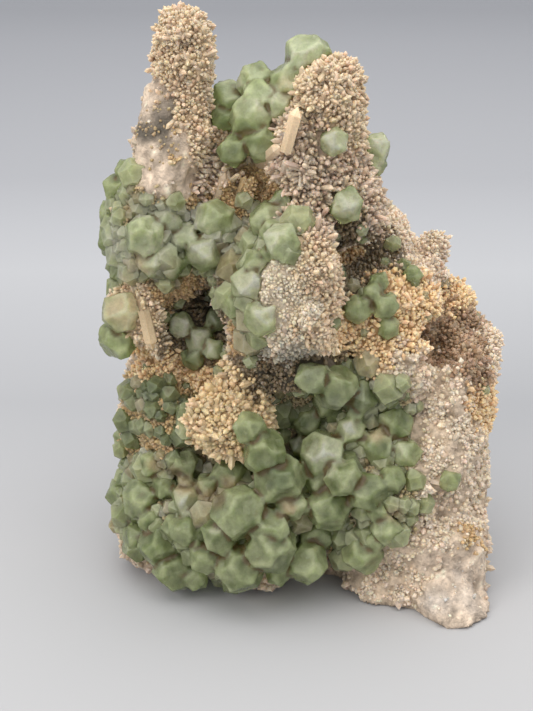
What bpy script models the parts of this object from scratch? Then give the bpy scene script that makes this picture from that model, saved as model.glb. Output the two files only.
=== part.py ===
"""Fluorite with quartz: a cabinet specimen that stands on its broken base.

Pale quartz rock carries a spire, a druse mound, a knob and a thick right flank. Green fluorite crystals
have grown over it in clusters. The rock is one solid with its larger quartz crystals fused on. Each group
of fluorite crystals that have grown together is one solid, trimmed to the rock that it grew on.

+Z is up, the front is towards -Y, and the origin is the middle of the base.
"""

import math
import random

import bmesh
import bpy
from mathutils import Euler, Matrix, Vector, noise
from mathutils.bvhtree import BVHTree

# Driving dimensions. Lists below are in MM, so HEIGHT alone sets the specimen's size. ROCK_GAP is left
# between the rock and the fluorite, VOXEL is the grain of the rock's mesh, and slivers are welded.
HEIGHT = 0.150
MM = HEIGHT / 150
ROCK_GAP = 0.35 * MM
VOXEL = 1.7 * MM
ROCK_TRIANGLES = 1900
CRYSTAL_SHARE = 0.75
SLIVER = 0.02 * MM

# The front view. Places on the front are measured as they look from EYE: across from the middle, and up
# from the lowest corner, in mm at VIEW_DISTANCE.
VIEW_PITCH = math.radians(22)
VIEW_DISTANCE = 310 * MM
EYE = Vector((-8, -299.4, 180.15)) * MM
VIEW_RIGHT = Vector((1, 0, 0))
VIEW_FORWARD = Vector((0, math.cos(VIEW_PITCH), -math.sin(VIEW_PITCH)))
VIEW_UP = Vector((0, math.sin(VIEW_PITCH), math.cos(VIEW_PITCH)))
VIEW_MIDDLE = (-7.875, 69.125)


def sight_line(across, up):
    """Direction from EYE through a place on the front view, one VIEW_DISTANCE long along the view."""
    right = (across - VIEW_MIDDLE[0]) * MM
    above = (up - VIEW_MIDDLE[1]) * MM
    return VIEW_FORWARD * VIEW_DISTANCE + VIEW_RIGHT * right + VIEW_UP * above


def seat(across, up, depth):
    """The point that looks to be at (across, up) and lies at y = depth."""
    line = sight_line(across, up)
    return EYE + line * ((depth * MM - EYE.y) / line.y)


# Rock lumps: across, up, depth of the middle, then half sizes along X, Y and Z.
LUMPS = {
    "trunk": (0.5, 58, 12, 37, 26, 40),
    "middle": (9, 72, 2, 22, 18, 22),
    "back": (2, 70, 22, 31, 15, 36),
    "back_foot": (6, 22, 14, 38, 24, 22),
    "back_ridge": (15, 70, 33, 12, 9, 27),
    "back_slab": (-15, 66, 29, 16, 9, 26),
    "back_knee": (23, 42, 24, 18, 13, 24),
    "back_heel": (-15, 37, 26, 18, 11, 20),
    "back_high": (-7, 112, 13, 19, 11, 15),
    "back_left": (-27, 94, 16, 13, 13, 19),
    "back_right": (11, 101, 12, 9, 10, 11),
    "flank": (35.5, 49, 0, 12.5, 22, 31),
    "foot": (33, 22, -9, 14, 21, 18),
    "tip": (38, 8, -24, 10, 14, 9),
    "sole": (26, 13, -17, 15, 12, 11),
    "sole_left": (8, 14, -4, 18, 12, 10),
    "right_belly": (18, 38, -11, 16, 18, 22),
    "right_face": (22, 74, -2, 14, 17, 20),
    "left_foot": (-32, 28, -2, 13, 20, 17),
    "left_wall": (-32.5, 53, 4, 12, 20, 24),
    "pocket_back": (-28, 77, 8, 14, 13, 13),
    "belly": (-12, 30, -10, 26, 17, 18),
    "wing": (19, 97, 11, 8, 11, 10),
    "wing_low": (28, 88, 12, 9, 11, 10),
    "wing_slope": (35.5, 79, 9, 8, 10, 10),
    "wing_edge": (44, 70, 8, 6.5, 11, 9),
    "tooth": (34.5, 96.5, 10, 3, 4.5, 4.5),
    "mound": (5, 117, -4, 12.5, 14, 17),
    "mound_top": (7, 134, -5, 8, 9, 9),
    "mound_foot": (8, 107, -4, 12, 14, 11),
    "bridge": (-12, 100, 2, 20, 14, 15),
    "saddle": (-14.5, 118, 5, 14, 11, 11),
    "knob": (-2, 86, -17, 12, 14, 19),
    "shoulder": (-34, 99, 2, 12.5, 15, 17),
    "spire_top": (-28, 149.5, 0, 6.4, 6, 6),
    "spire_neck": (-29.5, 139, -1, 7, 6.5, 11),
    "spire_waist": (-30.5, 129, -2, 8, 7.5, 12),
    "spire_base": (-32, 118, -4, 9.5, 10, 12),
    "horn": (-40.5, 80, -8, 7, 8, 9),
    "apron": (-17, 53, -19, 11, 9, 8),
    "under_knob": (-4, 69, -13, 14, 11, 8),
    "knob_left": (-12, 84, -12, 8, 10, 10),
    "knob_joint": (9, 78, -8, 8, 12, 13),
}

# Hollows carved in the rock, listed in the same way.
HOLLOWS = {
    "pocket": (-27, 78, -14, 9, 9, 5),
    "right_recess": (35, 73, -9, 6, 8, 9),
    "notch": (-19, 131, -4, 3, 12, 6),
    "mound_shadow": (12, 94, -17, 9, 7, 5),
}

# Fractured surface: swell and grain of the broken rock, as (size of a feature, height) pairs. Lumps lie
# between ball (2) and box in BOXINESS, and their broken faces lie at BROKEN_FACE, in shares of their size.
FRACTURE = ((11, 1.5), (4.5, 0.7))
BOXINESS = 2.7
BROKEN_FACE = (0.78, 0.95)

# Fluorite crystals that have grown together, each with its size from middle to face.
# on_rock: across, up, size, and how far it stands out of the rock, in its own sizes.
# edge: across, up, size and depth, for a crystal that stands beyond the rock's outline.
# around: azimuth seen from above (0 front, 90 right, 180 back), height, size, and how far it stands out.
FLUORITE = {
    "fluorite_front": {
        "on_rock": (
            (-12, 51, 4, 0.5), (-9, 45.5, 5.3, 0.7), (-4.5, 38.5, 6.2, 1.5), (0.5, 46.7, 3, 0.9),
            (6.7, 44.3, 6.2, 1.2), (11.5, 38.5, 4.6, 1.6), (5, 38, 3.8, 1.6), (-17, 39.3, 4.7, 0.6),
            (-14.5, 30, 6.6, 0.8), (-7.5, 26, 5.2, 1.1), (-7, 21.8, 6.6, 0.9), (-19.5, 24.3, 4.8, 0.7),
            (-2, 31.8, 4.2, 1.0), (7.5, 31, 5.6, 1.1), (4.5, 24.3, 4.8, 0.8), (-34.5, 21.8, 5.4, 0.5),
            (-40, 23.8, 4.6, 0.2), (-39, 33.5, 5.2, 0.2), (-36.5, 28, 3.8, 0.6), (-27.8, 33.5, 4, 0.7),
            (-28.3, 25.5, 4, 0.5), (-36.5, 42, 3.8, 0.4), (-28.5, 42, 4, 0.5), (-33, 36, 3.6, 0.5),
            (-22.5, 36.5, 3.6, 0.5), (-23, 18.8, 4.4, 0.5), (13, 50.5, 3.6, 0.9), (2.5, 52.5, 4, 0.6),
            (3.5, 63.5, 4.2, 0.4), (7.5, 57.3, 4, 0.4), (15.5, 59, 4.6, 0.3), (24.3, 52, 4.6, 0.4),
            (19.5, 46.5, 4.4, 0.4), (27, 45, 3.8, 0.4), (17.3, 35, 5, 0.5), (23.3, 38, 3.8, 0.4),
            (22, 26, 4, 0.3), (16, 19.5, 5, 0.3),
        ),
        "edge": (
            (-14.5, 16, 5.8, -31), (2.5, 17.2, 5, -29), (-5, 15, 3.4, -29), (-31, 15.8, 5.4, -22),
            (-25.5, 14, 3.6, -24),
        ),
    },
    "fluorite_crest": {
        "edge": (
            (2.5, 143.3, 5.7, -1), (-2, 137, 5, -4), (-10.5, 137.5, 4.8, 0), (-10, 133.5, 4.5, -5),
            (-17.5, 133.5, 4.6, 3), (-18.5, 127.5, 4.2, 0), (-11.5, 128.5, 5.3, -7), (-9, 122, 4.4, -10),
            (-16, 120.5, 4, -9), (-4.5, 131.5, 3.4, -8),
        ),
    },
    "fluorite_shoulder": {
        "on_rock": (
            (-38.5, 99, 5, 0.3), (-33, 103, 4, 0.3), (-37, 92.5, 3.8, 0.3), (-31.5, 91.5, 3.6, 0.4),
            (-28.5, 98.5, 4.2, 0.3), (-23.5, 95, 4.7, 0.4), (-21, 103.5, 4.7, 0.4),
        ),
    },
    "fluorite_shoulder_edge": {
        "edge": (
            (-42.5, 115, 3.4, 2), (-45, 110.5, 4, 1), (-46, 104.5, 4.2, 3), (-45.5, 98, 4.6, 1),
            (-44, 92, 4.2, -1), (-43.5, 86.5, 2.8, -3),
        ),
    },
    "fluorite_horn": {"edge": ((-45, 73.5, 5, -10), (-43.5, 80, 5.4, -13))},
    "fluorite_pocket": {
        "on_rock": (
            (-29.5, 77, 3.6, 0.3), (-24.5, 73, 3.8, 0.3), (-20.5, 78, 3.2, 0.3), (-26, 68.5, 3.2, 0.3),
            (-20.8, 70.5, 3.1, 0.4),
        ),
    },
    "fluorite_knob": {
        "on_rock": (
            (-7.5, 102.5, 4.9, 0.3), (-4, 97.5, 4.6, 0.3), (-12.5, 97, 3.2, 0.4), (-12, 87, 4.6, 0.3),
            (-15, 82, 3.8, 0.3), (-9, 79, 4.6, 0.2), (-10, 92, 3.6, 0.3), (-3.2, 108, 3.2, 0.5),
        ),
    },
    "fluorite_mound_front": {"on_rock": ((9, 122.5, 3.6, 0.4),)},
    "fluorite_mound_right": {"edge": ((19.7, 121, 3.6, -6), (19, 117, 3, -7))},
    "fluorite_mound_low": {"on_rock": ((12, 106.5, 4.2, 0.5),)},
    "fluorite_wing": {"on_rock": ((28.5, 89, 2.8, 0.4),)},
    "fluorite_ledge": {
        "on_rock": (
            (14.7, 80.7, 3.5, 0.5), (21.7, 81.5, 3.3, 0.5), (18.5, 84.7, 2.7, 0.4), (22.5, 76, 2.9, 0.3),
            (20.3, 87.5, 2.6, 0.4),
        ),
    },
    "fluorite_flank": {"on_rock": ((38, 38, 3, 0.4),)},
    "fluorite_left_side": {
        "around": ((-84, 19, 4.6, 0.0), (-96, 14, 4, 0.1), (-98, 25, 4.8, 0.1), (-90, 33, 4.2, 0.0)),
    },
    "fluorite_back": {"around": ((196, 74, 5, 0.3), (190, 66, 4.4, 0.3), (203, 66, 4, 0.3))},
}

# How far the corners of each crystal's cube are cut away: 1 leaves an octahedron, 2 a cuboctahedron. Crystals
# smaller than FULL_SIZE are plain cuboctahedra, with the middles of their edges at EDGE_MIDDLE of their size
# along two axes. WANDER is how unevenly the faces of a crystal have grown.
CORNER_CUT = (1.35, 1.8)
FULL_SIZE = 4.9 * MM
EDGE_MIDDLE = 0.8
WANDER = 0.07

# Two crystals have grown together where their middles are nearer than GROWN_TOGETHER of their summed sizes.
# A crystal that bridges a gap starts at BRIDGE_START of the size of those beside it, overlaps them by
# BRIDGE_OVERLAP of their mean size, and has at least BRIDGE_LEAST of the smaller one's size.
GROWN_TOGETHER = 0.8
BRIDGE_START = 0.75
BRIDGE_OVERLAP = 1.0
BRIDGE_LEAST = 0.35

# Quartz crystals that stand out singly: foot and tip as (across, up), how far the tip leans towards the
# front, and the width. They are sunk in the rock by SUNK of their width, and the pyramid at the tip is
# PYRAMID of their width high. Those in patches are PATCH_LENGTH times as long as wide.
SUNK = 0.8
PYRAMID = 0.75
PATCH_LENGTH = (1.0, 1.5)
PATCH_LEAN = 0.3
QUARTZ_POINTS = {
    "needle": ((-2.8, 120.5), (0.2, 131.5), 3, 2.4),
    "beside_spire": ((-24.5, 120.5), (-22.8, 126.5), 2, 2.2),
    "under_crest": ((-18.5, 109.5), (-17, 113.8), 3, 3),
    "under_crest_right": ((-12.8, 109.5), (-11, 113.3), 3, 2.8),
    "mound_low": ((0.5, 113), (2.5, 117.5), 3, 2.8),
    "horn_column": ((-36, 76), (-33.8, 68.5), 2, 4),
    "flank_edge": ((30.8, 36), (33.6, 35.6), 2, 2.6),
}

# Patches of coarser quartz crystals on the front: across, up, half sizes of the patch, how many, and their
# widths. Patches on the back: azimuth, height, half sizes in degrees and height, how many, and their widths.
QUARTZ_PATCHES = {
    "spire": (-28, 146, 5.5, 9, 9, 2.6, 3.6),
    "mound": (6, 127, 8, 13, 12, 2.6, 3.6),
    "knob_rim": (5, 84, 4, 14, 8, 2.6, 3.6),
    "right_face": (27, 74, 5, 10, 6, 2.6, 3.4),
    "wing": (30, 86, 8, 6, 4, 2.6, 3.4),
    "apron": (-17, 53, 9, 6, 8, 2.8, 3.8),
    "right_edge": (46, 66, 2.5, 10, 3, 2.6, 3.2),
}
BACK_PATCHES = {
    "back_of_mound": (172, 128, 20, 8, 4, 2.8, 3.8),
    "back_of_wing": (150, 84, 12, 8, 3, 2.8, 3.8),
    "back_of_rock": (205, 100, 16, 10, 4, 2.8, 3.8),
}

# Colours are linear red, green and blue.
QUARTZ_COLOUR = (0.60, 0.47, 0.37)
QUARTZ_ROUGHNESS = 0.6
FLUORITE_COLOUR = (0.27, 0.37, 0.24)
FLUORITE_ROUGHNESS = 0.3

# A grown skin moves a corner out by no more than the distance over SHARPEST, however sharp the corner is.
SHARPEST = 0.45


def new_object(name, bm):
    mesh = bpy.data.meshes.new(name)
    bm.to_mesh(mesh)
    bm.free()
    obj = bpy.data.objects.new(name, mesh)
    bpy.context.scene.collection.objects.link(obj)
    return obj


def settle(obj):
    """Turns what the modifiers make of obj into its own mesh."""
    graph = bpy.context.evaluated_depsgraph_get()
    mesh = bpy.data.meshes.new_from_object(obj.evaluated_get(graph))
    old = obj.data
    obj.modifiers.clear()
    obj.data = mesh
    bpy.data.meshes.remove(old)
    return obj


def remesh(obj, voxel):
    modifier = obj.modifiers.new("even", "REMESH")
    modifier.mode = "VOXEL"
    modifier.voxel_size = voxel
    return settle(obj)


def hew(bm, centre, reach, chance, cuts):
    """Splits flat broken faces off a lump: each cut keeps what is inside a plane near its skin."""
    for _ in range(cuts):
        direction = Vector([chance.gauss(0, 1) for _ in range(3)]).normalized()
        keep = chance.uniform(*BROKEN_FACE)
        scaled = Vector([d * r for d, r in zip(direction, reach)])
        normal = Vector([d / r for d, r in zip(direction, reach)]).normalized()
        geom = bm.verts[:] + bm.edges[:] + bm.faces[:]
        cut = bmesh.ops.bisect_plane(
            bm, geom=geom, plane_co=centre + scaled * keep, plane_no=normal, clear_outer=True
        )
        edges = [e for e in cut["geom_cut"] if isinstance(e, bmesh.types.BMEdge)]
        bmesh.ops.holes_fill(bm, edges=edges)


def lump(name, sizes, cuts=9):
    """One faceted boulder."""
    across, up, depth, *half = sizes
    centre = seat(across, up, depth)
    reach = [h * MM for h in half]
    chance = random.Random(name)
    bm = bmesh.new()
    bmesh.ops.create_icosphere(bm, subdivisions=3, radius=1)
    for vert in bm.verts:
        vert.co *= sum(abs(c) ** BOXINESS for c in vert.co) ** (-1 / BOXINESS)
    bmesh.ops.scale(bm, vec=reach, verts=bm.verts)
    bmesh.ops.translate(bm, vec=centre, verts=bm.verts)
    hew(bm, centre, reach, chance, cuts)
    return bm


def joined(parts):
    whole = bmesh.new()
    for part in parts:
        mesh = bpy.data.meshes.new("part")
        part.to_mesh(mesh)
        part.free()
        whole.from_mesh(mesh)
        bpy.data.meshes.remove(mesh)
    return whole


def weather(obj):
    """Breaks the smooth skin up into the swells and grain of fractured quartz."""
    mesh = obj.data
    for vert, normal in zip(mesh.vertices, [v.normal.copy() for v in mesh.vertices]):
        rise = sum(height * noise.noise(vert.co / (size * MM)) for size, height in FRACTURE)
        vert.co += normal * rise * MM


def cut_base(obj):
    """Saws the underside off flat at z = 0."""
    bm = bmesh.new()
    bm.from_mesh(obj.data)
    geom = bm.verts[:] + bm.edges[:] + bm.faces[:]
    cut = bmesh.ops.bisect_plane(bm, geom=geom, plane_co=(0, 0, 0), plane_no=(0, 0, -1), clear_outer=True)
    edges = [e for e in cut["geom_cut"] if isinstance(e, bmesh.types.BMEdge)]
    bmesh.ops.triangle_fill(bm, edges=edges, use_beauty=True)
    bm.to_mesh(obj.data)
    bm.free()


def make_rock():
    rock = new_object("quartz_rock", joined(lump(n, s) for n, s in LUMPS.items()))
    remesh(rock, VOXEL)
    hollows = new_object("hollows", joined(lump(n, s, cuts=5) for n, s in HOLLOWS.items()))
    remesh(hollows, VOXEL)
    carve = rock.modifiers.new("carve", "BOOLEAN")
    carve.operation = "DIFFERENCE"
    carve.object = hollows
    settle(rock)
    bpy.data.objects.remove(hollows)
    weather(rock)
    remesh(rock, VOXEL)
    cut_base(rock)
    return rock


def cut_off(bm, distance, normal):
    """Cuts away what lies beyond a plane and closes the cut with one flat face."""
    geom = bm.verts[:] + bm.edges[:] + bm.faces[:]
    cut = bmesh.ops.bisect_plane(
        bm, geom=geom, plane_co=normal * distance, plane_no=normal, clear_outer=True, dist=1e-7
    )
    edges = [e for e in cut["geom_cut"] if isinstance(e, bmesh.types.BMEdge)]
    bmesh.ops.holes_fill(bm, edges=edges)


def full_crystal(size, chance):
    """A cube with its eight corners cut off, which is how fluorite grows between cube and octahedron."""
    corner = chance.uniform(*CORNER_CUT)
    half = 2 * size / (corner / math.sqrt(3) + math.sqrt(1 + (corner - 1) ** 2))
    bm = bmesh.new()
    bmesh.ops.create_cube(bm, size=4 * half)
    signs = (1, -1)
    cube_faces = [Vector((s if i == k else 0 for i in range(3))) for k in range(3) for s in signs]
    corner_faces = [Vector((x, y, z)).normalized() for x in signs for y in signs for z in signs]
    for normal in cube_faces:
        cut_off(bm, half * chance.uniform(1 - WANDER, 1 + WANDER), normal)
    for normal in corner_faces:
        cut_off(bm, half * corner / math.sqrt(3) * chance.uniform(1 - WANDER, 1 + WANDER), normal)
    return bm


def small_crystal(size, chance):
    """A cuboctahedron: the hull of the middles of a cube's twelve edges."""
    bm = bmesh.new()
    for k in range(3):
        for a in (1, -1):
            for b in (1, -1):
                corner = Vector((a, b))
                corner.resize_3d()
                place = Vector((corner[(k + 1) % 3], corner[(k + 2) % 3], corner[k]))
                reach = size * EDGE_MIDDLE * chance.uniform(1 - WANDER, 1 + WANDER)
                bmesh.ops.create_vert(bm, co=place * reach)
    bmesh.ops.convex_hull(bm, input=bm.verts)
    return bm


def fluorite_crystal(place, size, chance):
    bm = full_crystal(size, chance) if size >= FULL_SIZE else small_crystal(size, chance)
    turn = Euler([chance.uniform(0, math.tau) for _ in range(3)]).to_matrix()
    bmesh.ops.rotate(bm, cent=(0, 0, 0), matrix=turn, verts=bm.verts)
    bmesh.ops.translate(bm, vec=place, verts=bm.verts)
    bmesh.ops.recalc_face_normals(bm, faces=bm.faces)
    return bm


def quartz_crystal(foot, tip, width):
    """A six-sided prism closed by a six-sided pyramid, sunk a little at its foot."""
    bm = bmesh.new()
    length = (tip - foot).length
    shoulder = length - PYRAMID * width
    rings = []
    for height in (-SUNK * width, shoulder):
        turns = [math.tau * k / 6 for k in range(6)]
        corners = [(width / 2 * math.cos(turn), width / 2 * math.sin(turn), height) for turn in turns]
        rings.append([bm.verts.new(corner) for corner in corners])
    peak = bm.verts.new((0, 0, length))
    bm.faces.new(reversed(rings[0]))
    for k in range(6):
        low, low_next = rings[0][k], rings[0][(k + 1) % 6]
        high, high_next = rings[1][k], rings[1][(k + 1) % 6]
        bm.faces.new((low, low_next, high_next, high))
        bm.faces.new((high, high_next, peak))
    stand = (tip - foot).to_track_quat("Z", "Y").to_matrix()
    bmesh.ops.rotate(bm, cent=(0, 0, 0), matrix=stand, verts=bm.verts)
    bmesh.ops.translate(bm, vec=foot, verts=bm.verts)
    return bm


def rock_at(surface, across, up):
    """Where the rock is seen at (across, up) on the front, the way its skin faces, and the line of sight."""
    line = sight_line(across, up).normalized()
    hit, normal, _, _ = surface.ray_cast(EYE, line)
    return hit, normal, line


def rock_around(surface, azimuth, height):
    """The same for a place on any side, seen level from outside."""
    turn = math.radians(azimuth)
    line = Vector((-math.sin(turn), math.cos(turn), 0))
    hit, normal, _, _ = surface.ray_cast(Vector((0, 4 * MM, height * MM)) - line * 2 * HEIGHT, line)
    return hit, normal, line


def places_of(group, surface):
    """Middle and size of every crystal of a group, in metres."""
    found = [(seat(across, up, depth), size * MM) for across, up, size, depth in group.get("edge", ())]
    for key, look in (("on_rock", rock_at), ("around", rock_around)):
        for first, second, size, stand_out in group.get(key, ()):
            hit, _, line = look(surface, first, second)
            if hit is None:
                raise ValueError(f"no rock at {first}, {second}")
            found.append((hit - line * size * MM * stand_out, size * MM))
    return found


def bridge_gaps(found):
    """Adds small crystals between those that stand apart, until the whole group has grown together."""
    found = list(found)
    while True:
        linked, rest = {0}, set(range(1, len(found)))
        grew = True
        while grew:
            near = {
                j for j in rest for i in linked
                if (found[i][0] - found[j][0]).length < GROWN_TOGETHER * (found[i][1] + found[j][1])
            }
            grew = bool(near)
            linked |= near
            rest -= near
        if not rest:
            return found
        gap, i, j = min(
            ((found[i][0] - found[j][0]).length - found[i][1] - found[j][1], i, j)
            for i in linked for j in rest
        )
        (a, size_a), (b, size_b) = found[i], found[j]
        along = (b - a).normalized()
        mean = (size_a + size_b) / 2
        size = max((gap + BRIDGE_OVERLAP * mean) / 2, BRIDGE_LEAST * min(size_a, size_b))
        found.append(((a + along * size_a * BRIDGE_START + b - along * size_b * BRIDGE_START) / 2, size))


def combine(whole, others, operation):
    """Joins the other objects to whole, or cuts them from it."""
    helpers = bpy.data.collections.new("helpers")
    for obj in others:
        helpers.objects.link(obj)
    boolean = whole.modifiers.new("combine", "BOOLEAN")
    boolean.operation = operation
    boolean.operand_type = "COLLECTION"
    boolean.collection = helpers
    settle(whole)
    bpy.data.collections.remove(helpers)


def remove(objects):
    for obj in objects:
        bpy.data.objects.remove(obj)


def largest_piece(obj):
    """Keeps the largest of the separate pieces that cutting has left, without its slivers."""
    bm = bmesh.new()
    bm.from_mesh(obj.data)
    bmesh.ops.remove_doubles(bm, verts=bm.verts, dist=SLIVER)
    bmesh.ops.dissolve_degenerate(bm, edges=bm.edges, dist=SLIVER)
    left = set(bm.verts)
    pieces = []
    while left:
        piece, edge_of = set(), [left.pop()]
        while edge_of:
            vert = edge_of.pop()
            piece.add(vert)
            near = {edge.other_vert(vert) for edge in vert.link_edges} & left
            left -= near
            edge_of += near
        pieces.append(piece)
    pieces.sort(key=len)
    bmesh.ops.delete(bm, geom=[v for piece in pieces[:-1] for v in piece], context="VERTS")
    bm.to_mesh(obj.data)
    bm.free()


def grow_skin(obj, distance):
    """A copy of obj whose every face has moved out by at least distance."""
    bm = bmesh.new()
    bm.from_mesh(obj.data)
    bm.normal_update()
    moves = []
    for vert in bm.verts:
        facing = [face.normal for face in vert.link_faces]
        out = sum(facing, Vector()).normalized()
        moves.append(out * distance / max(min(out.dot(normal) for normal in facing), SHARPEST))
    for vert, move in zip(bm.verts, moves):
        vert.co += move
    return new_object(obj.name + "_grown", bm)


def make_fluorite(name, found, grown_rock):
    """One solid of all the crystals in a group, trimmed where it meets the rock."""
    crystals = [
        new_object(f"{name}_{index}", fluorite_crystal(place, size, random.Random(f"{name} {index}")))
        for index, (place, size) in enumerate(found)
    ]
    whole, *others = crystals
    whole.name = name
    if others:
        combine(whole, others, "UNION")
        remove(others)
    combine(whole, [grown_rock], "DIFFERENCE")
    largest_piece(whole)
    thin_out(whole, CRYSTAL_SHARE * triangles_of(whole))
    return whole


def clear_of(found, foot, tip, width):
    """True where a quartz crystal keeps its distance from all the fluorite."""
    middle = (foot + tip) / 2
    reach = (tip - foot).length / 2 + width / 2
    return all((middle - place).length > reach + size * 1.15 + ROCK_GAP for place, size in found)


def quartz_crystals(surface, fluorite):
    """Foot, tip and width of each quartz crystal that is fused on the rock."""
    found = []
    for (across, up), (tip_across, tip_up), lean, width in QUARTZ_POINTS.values():
        foot, _, _ = rock_at(surface, across, up)
        found.append((foot, seat(tip_across, tip_up, foot.y / MM - lean), width * MM))
    patches = [(rock_at, patch) for patch in QUARTZ_PATCHES.items()]
    patches += [(rock_around, patch) for patch in BACK_PATCHES.items()]
    for look, (name, (first, second, half_first, half_second, count, least, most)) in patches:
        chance = random.Random(name)
        made = 0
        for _ in range(count * 10):
            if made == count:
                break
            turn, out = chance.uniform(0, math.tau), math.sqrt(chance.random())
            beside = half_first * out * math.cos(turn)
            above = half_second * out * math.sin(turn)
            foot, normal, _ = look(surface, first + beside, second + above)
            if foot is None:
                continue
            width = chance.uniform(least, most) * MM
            lean = Vector([chance.gauss(0, PATCH_LEAN) for _ in range(3)])
            along = (normal + lean + Vector((0, 0, PATCH_LEAN))).normalized()
            tip = foot + along * width * chance.uniform(*PATCH_LENGTH)
            apart = all((foot - other).length > 0.4 * (width + wide) for other, _, wide in found)
            if apart and clear_of(fluorite, foot, tip, width):
                found.append((foot, tip, width))
                made += 1
    return found


def triangles_of(obj):
    return sum(len(face.vertices) - 2 for face in obj.data.polygons)


def is_closed(obj):
    bm = bmesh.new()
    bm.from_mesh(obj.data)
    closed = all(edge.is_manifold for edge in bm.edges)
    bm.free()
    return closed


def thin_out(obj, triangles):
    """Fewer, larger facets, as on broken rock. It is taken back where it would tear the skin."""
    before = obj.data.copy()
    modifier = obj.modifiers.new("facets", "DECIMATE")
    modifier.ratio = triangles / triangles_of(obj)
    settle(obj)
    if not is_closed(obj):
        obj.data = before


def surface_of(obj):
    bm = bmesh.new()
    bm.from_mesh(obj.data)
    tree = BVHTree.FromBMesh(bm)
    bm.free()
    return tree


def paint(obj, colour, roughness):
    material = bpy.data.materials.new(obj.name)
    material.use_nodes = True
    look = material.node_tree.nodes["Principled BSDF"]
    look.inputs["Base Color"].default_value = (*colour, 1)
    look.inputs["Roughness"].default_value = roughness
    look.inputs["Metallic"].default_value = 0
    obj.data.materials.clear()
    obj.data.materials.append(material)


def main():
    for obj in list(bpy.data.objects):
        bpy.data.objects.remove(obj)
    rock = make_rock()
    thin_out(rock, ROCK_TRIANGLES)
    surface = surface_of(rock)
    groups = {name: bridge_gaps(places_of(group, surface)) for name, group in FLUORITE.items()}
    grown_rock = grow_skin(rock, ROCK_GAP)
    fluorite = [make_fluorite(name, found, grown_rock) for name, found in groups.items()]
    remove([grown_rock])
    every_crystal = [crystal for found in groups.values() for crystal in found]
    found = quartz_crystals(surface, every_crystal)
    points = [new_object("quartz_point", quartz_crystal(*crystal)) for crystal in found]
    combine(rock, points, "UNION")
    remove(points)
    largest_piece(rock)

    pieces = [rock, *fluorite]
    corners = [vert.co for piece in pieces for vert in piece.data.vertices]
    middle = Vector([(min(c[k] for c in corners) + max(c[k] for c in corners)) / 2 for k in range(3)])
    middle.z = 0
    for piece in pieces:
        piece.data.transform(Matrix.Translation(-middle))
    paint(rock, QUARTZ_COLOUR, QUARTZ_ROUGHNESS)
    for piece in fluorite:
        paint(piece, FLUORITE_COLOUR, FLUORITE_ROUGHNESS)


main()
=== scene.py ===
"""Fluorite with quartz: the finished look of a cabinet specimen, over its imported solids.

Pale quartz rock with a crust of small quartz crystals, and clusters of green fluorite that have grown on it.
"""

import math

import bpy
import numpy as np
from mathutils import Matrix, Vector
from mathutils.bvhtree import BVHTree


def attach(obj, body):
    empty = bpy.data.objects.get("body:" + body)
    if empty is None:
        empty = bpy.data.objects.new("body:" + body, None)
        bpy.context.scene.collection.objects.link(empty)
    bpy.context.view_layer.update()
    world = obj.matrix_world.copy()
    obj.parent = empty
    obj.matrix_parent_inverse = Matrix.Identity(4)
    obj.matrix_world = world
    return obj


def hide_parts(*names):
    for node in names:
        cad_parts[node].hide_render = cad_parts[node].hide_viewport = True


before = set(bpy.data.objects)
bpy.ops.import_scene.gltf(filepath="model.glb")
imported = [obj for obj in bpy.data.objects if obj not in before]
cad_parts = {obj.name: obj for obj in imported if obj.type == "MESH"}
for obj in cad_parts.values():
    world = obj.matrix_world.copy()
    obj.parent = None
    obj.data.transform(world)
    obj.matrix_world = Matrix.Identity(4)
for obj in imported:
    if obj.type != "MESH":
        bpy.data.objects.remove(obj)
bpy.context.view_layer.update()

# The camera stands 18 cm up and 30 cm in front, and looks down at 22 degrees, as in a close photograph of
# a specimen on a table. Places on the front are measured as seen from there: across from the middle of
# the base, and up from the lowest corner, in millimetres at 310 mm from the lens.
MM = 0.001
EYE = Vector((-8.8575, -301.0985, 180.15)) * MM
LOOK_DOWN = math.radians(22)
VIEW_DISTANCE = 310 * MM
VIEW_FORWARD = Vector((0, math.cos(LOOK_DOWN), -math.sin(LOOK_DOWN)))
VIEW_UP = Vector((0, math.sin(LOOK_DOWN), math.cos(LOOK_DOWN)))
VIEW_MIDDLE = (-7.875, 69.125)
VIEW_HEIGHT = 177.75 * MM

lens = bpy.data.cameras.new("specimen_view")
lens.sensor_width = 36
lens.lens = 36 * VIEW_DISTANCE / VIEW_HEIGHT
lens.clip_start = 0.01
lens.clip_end = 10
camera = bpy.data.objects.new("specimen_view", lens)
camera.location = EYE
camera.rotation_euler = (math.radians(90) - LOOK_DOWN, 0, 0)
bpy.context.scene.collection.objects.link(camera)
bpy.context.scene.camera = camera

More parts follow.
